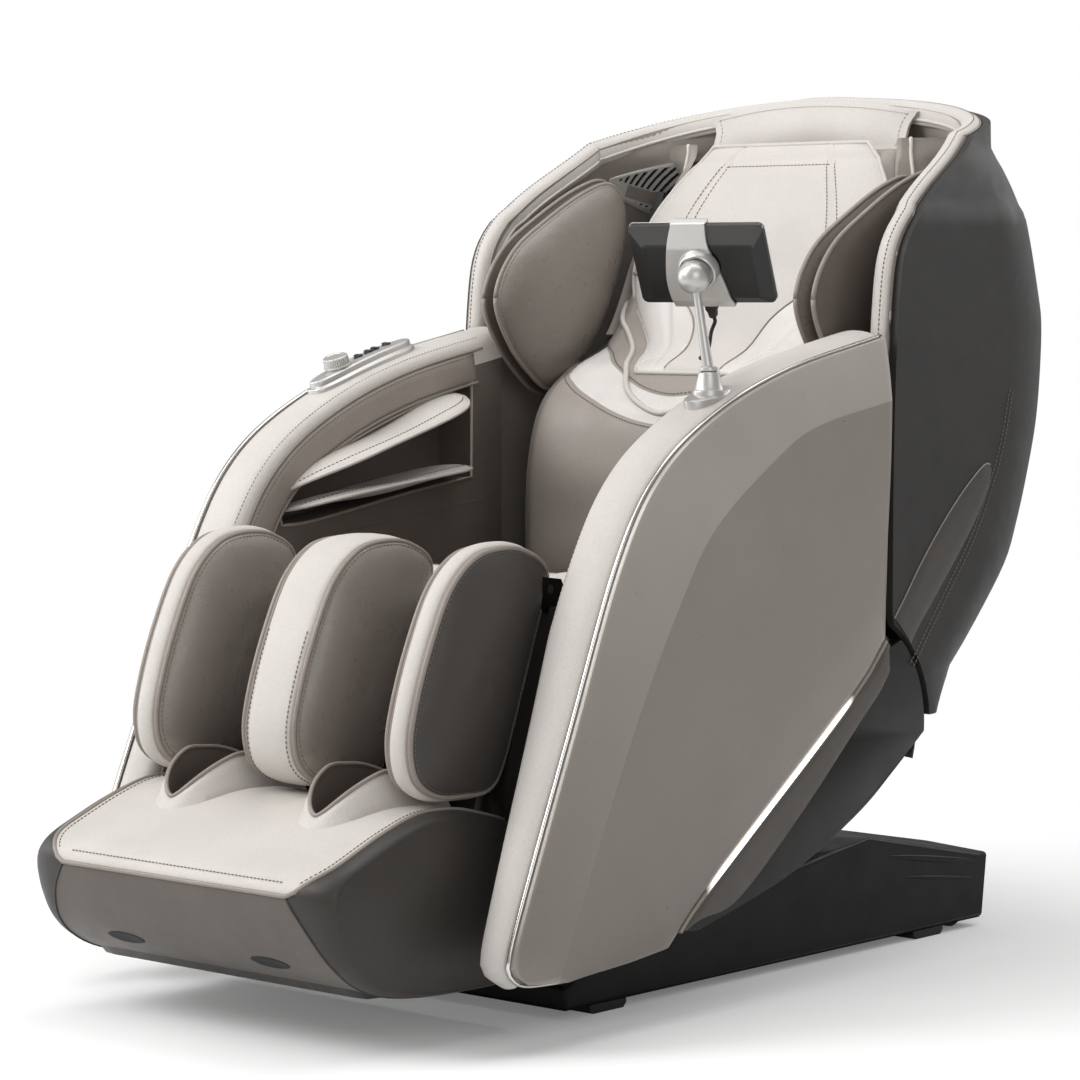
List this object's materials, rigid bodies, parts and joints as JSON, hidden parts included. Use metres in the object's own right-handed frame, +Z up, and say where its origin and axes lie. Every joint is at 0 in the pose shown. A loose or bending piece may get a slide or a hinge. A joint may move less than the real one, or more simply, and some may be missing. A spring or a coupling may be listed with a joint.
{
  "type": "massage chair",
  "caption": "Zero-gravity massage chair: reclining hooded back, padded arms with forearm channels, swinging calf and foot rest, tablet on a post, console on the arm.",
  "frame": {"origin": "the point on the floor under the middle of the base", "axes": "+Z up, the chair faces -Y, +X is the sitter's left"},
  "size_m": [0.8147, 1.4618, 1.209],
  "materials": {
    "light_leather": "matte",
    "taupe_leather": "satin",
    "dark_leather": "satin",
    "taupe_plastic": "satin",
    "dark_shell": "satin",
    "black_plastic": "matte",
    "silver_plastic": "satin",
    "bright_trim": "polished",
    "black_steel": "satin",
    "rubber": "matte",
    "light_guide": "gloss"
  },
  "bodies": {
    "base": {"base_cover": "black_plastic", "base_frame": "black_steel", "front_skid": "rubber", "rear_skid": "rubber", "power_unit": "black_plastic"},
    "switch": {"power_switch": "black_plastic"},
    "wheel_left": {"transport_wheel_left": "rubber"},
    "wheel_right": {"transport_wheel_right": "rubber"},
    "carriage": {"carriage_frame": "black_steel"},
    "seat": {"seat_frame": "black_steel", "seat_cushion": "taupe_leather", "lower_cover": "dark_shell", "control_panel": "silver_plastic", "tablet_socket": "silver_plastic", "recline_actuator": "black_steel", "side_panel_left": "taupe_plastic", "side_panel_right": "taupe_plastic", "arm_core_left": "taupe_leather", "arm_core_right": "taupe_leather", "arm_band_left": "light_leather", "arm_band_right": "light_leather", "trim_strip_left": "bright_trim", "trim_strip_right": "bright_trim", "light_strip_left": "light_guide", "light_strip_right": "light_guide", "arm_airbag_upper_left": "light_leather", "arm_airbag_upper_right": "light_leather", "arm_airbag_lower_left": "light_leather", "arm_airbag_lower_right": "light_leather"},
    "dial": {"dial_knob": "bright_trim"},
    "button_1": {"console_button_1": "black_plastic"},
    "button_2": {"console_button_2": "black_plastic"},
    "button_3": {"console_button_3": "black_plastic"},
    "button_4": {"console_button_4": "black_plastic"},
    "post": {"tablet_post": "silver_plastic", "tablet_cable": "black_plastic"},
    "tablet": {"tablet_case": "black_plastic", "tablet_bracket": "silver_plastic", "tablet_plug": "black_plastic"},
    "back": {"back_frame": "black_steel", "back_shell": "dark_shell", "hood_lining": "light_leather", "back_pad": "light_leather", "back_cushion": "light_leather", "head_flap": "light_leather", "shoulder_pad_left": "dark_leather", "shoulder_pad_right": "dark_leather", "speaker_grille_left": "silver_plastic", "speaker_grille_right": "silver_plastic"},
    "massage": {"massage_carriage": "black_steel"},
    "rollers": {"massage_rollers": "rubber"},
    "legrest": {"calf_frame": "black_steel", "calf_wall_left": "light_leather", "calf_wall_middle": "light_leather", "calf_wall_right": "light_leather"},
    "foot": {"foot_case": "dark_shell", "foot_cover": "light_leather"},
    "foot_massage_left": {"foot_roller_left": "rubber"},
    "foot_massage_right": {"foot_roller_right": "rubber"}
  },
  "joints": [
    {"name": "seat_glide", "type": "slide", "parent": "base", "child": "carriage", "axis": [0, -1, 0], "range_m": [0, 0.1005]},
    {"name": "seat_tilt", "type": "hinge", "parent": "carriage", "child": "seat", "pos_m": [0, 0.12, 0.25], "axis": [-1, 0, 0], "range_deg": [0, 10]},
    {"name": "back_recline", "type": "hinge", "parent": "seat", "child": "back", "pos_m": [0, 0, 0.335], "axis": [-1, 0, 0], "range_deg": [0, 30]},
    {"name": "legrest_lift", "type": "hinge", "parent": "seat", "child": "legrest", "pos_m": [0, -0.47, 0.55], "axis": [-1, 0, 0], "range_deg": [0, 70]},
    {"name": "footrest_extend", "type": "slide", "parent": "legrest", "child": "foot", "axis": [0, -0.363, -0.9318], "range_m": [0, 0.1]},
    {"name": "massage_travel", "type": "slide", "parent": "back", "child": "massage", "axis": [0, 0.3303, 0.9439], "range_m": [0, 0.34]},
    {"name": "massage_spin", "type": "hinge", "parent": "massage", "child": "rollers", "pos_m": [0, 0.2715, 0.67], "axis": [1, 0, 0], "continuous": true},
    {"name": "dial_turn", "type": "hinge", "parent": "seat", "child": "dial", "pos_m": [-0.346, -0.23931, 0.81718], "axis": [0, -0.3437, 0.9391], "range_deg": [-135, 135]},
    {"name": "tablet_swivel", "type": "hinge", "parent": "seat", "child": "post", "pos_m": [0.346, -0.262, 0.836], "axis": [0, 0, 1], "range_deg": [-60, 60]},
    {"name": "tablet_tilt", "type": "hinge", "parent": "post", "child": "tablet", "pos_m": [0.325, -0.267, 0.944], "axis": [0.9511, 0.309, 0], "range_deg": [-20, 20], "deforming": ["tablet_cable"]},
    {"name": "switch_rock", "type": "hinge", "parent": "base", "child": "switch", "pos_m": [0.026, 0.463, 0.08], "axis": [1, 0, 0], "range_deg": [-7, 7]},
    {"name": "button_press_1", "type": "slide", "parent": "seat", "child": "button_1", "axis": [0, 0.2978, -0.9546], "range_m": [0, 0.0015], "stiffness_N_per_m": 700, "springref_m": -0.001},
    {"name": "button_press_2", "type": "slide", "parent": "seat", "child": "button_2", "axis": [0, 0.2773, -0.9608], "range_m": [0, 0.0015], "stiffness_N_per_m": 700, "springref_m": -0.001},
    {"name": "button_press_3", "type": "slide", "parent": "seat", "child": "button_3", "axis": [0, 0.2639, -0.9645], "range_m": [0, 0.0015], "stiffness_N_per_m": 700, "springref_m": -0.001},
    {"name": "button_press_4", "type": "slide", "parent": "seat", "child": "button_4", "axis": [0, 0.2445, -0.9696], "range_m": [0, 0.0015], "stiffness_N_per_m": 700, "springref_m": -0.001},
    {"name": "foot_roller_spin_left", "type": "hinge", "parent": "foot", "child": "foot_massage_left", "pos_m": [0.13, -0.65, 0.0815], "axis": [1, 0, 0], "continuous": true},
    {"name": "foot_roller_spin_right", "type": "hinge", "parent": "foot", "child": "foot_massage_right", "pos_m": [-0.13, -0.65, 0.0815], "axis": [1, 0, 0], "continuous": true},
    {"name": "wheel_spin_left", "type": "hinge", "parent": "base", "child": "wheel_left", "pos_m": [0.252, 0.412, 0.034], "axis": [1, 0, 0], "continuous": true},
    {"name": "wheel_spin_right", "type": "hinge", "parent": "base", "child": "wheel_right", "pos_m": [-0.252, 0.412, 0.034], "axis": [1, 0, 0], "continuous": true}
  ],
  "couplings": [
    {"joint": "seat_glide", "follows": "back_recline", "m_per_rad": 0.191},
    {"joint": "footrest_extend", "follows": "legrest_lift", "m_per_rad": 0.0818}
  ]
}
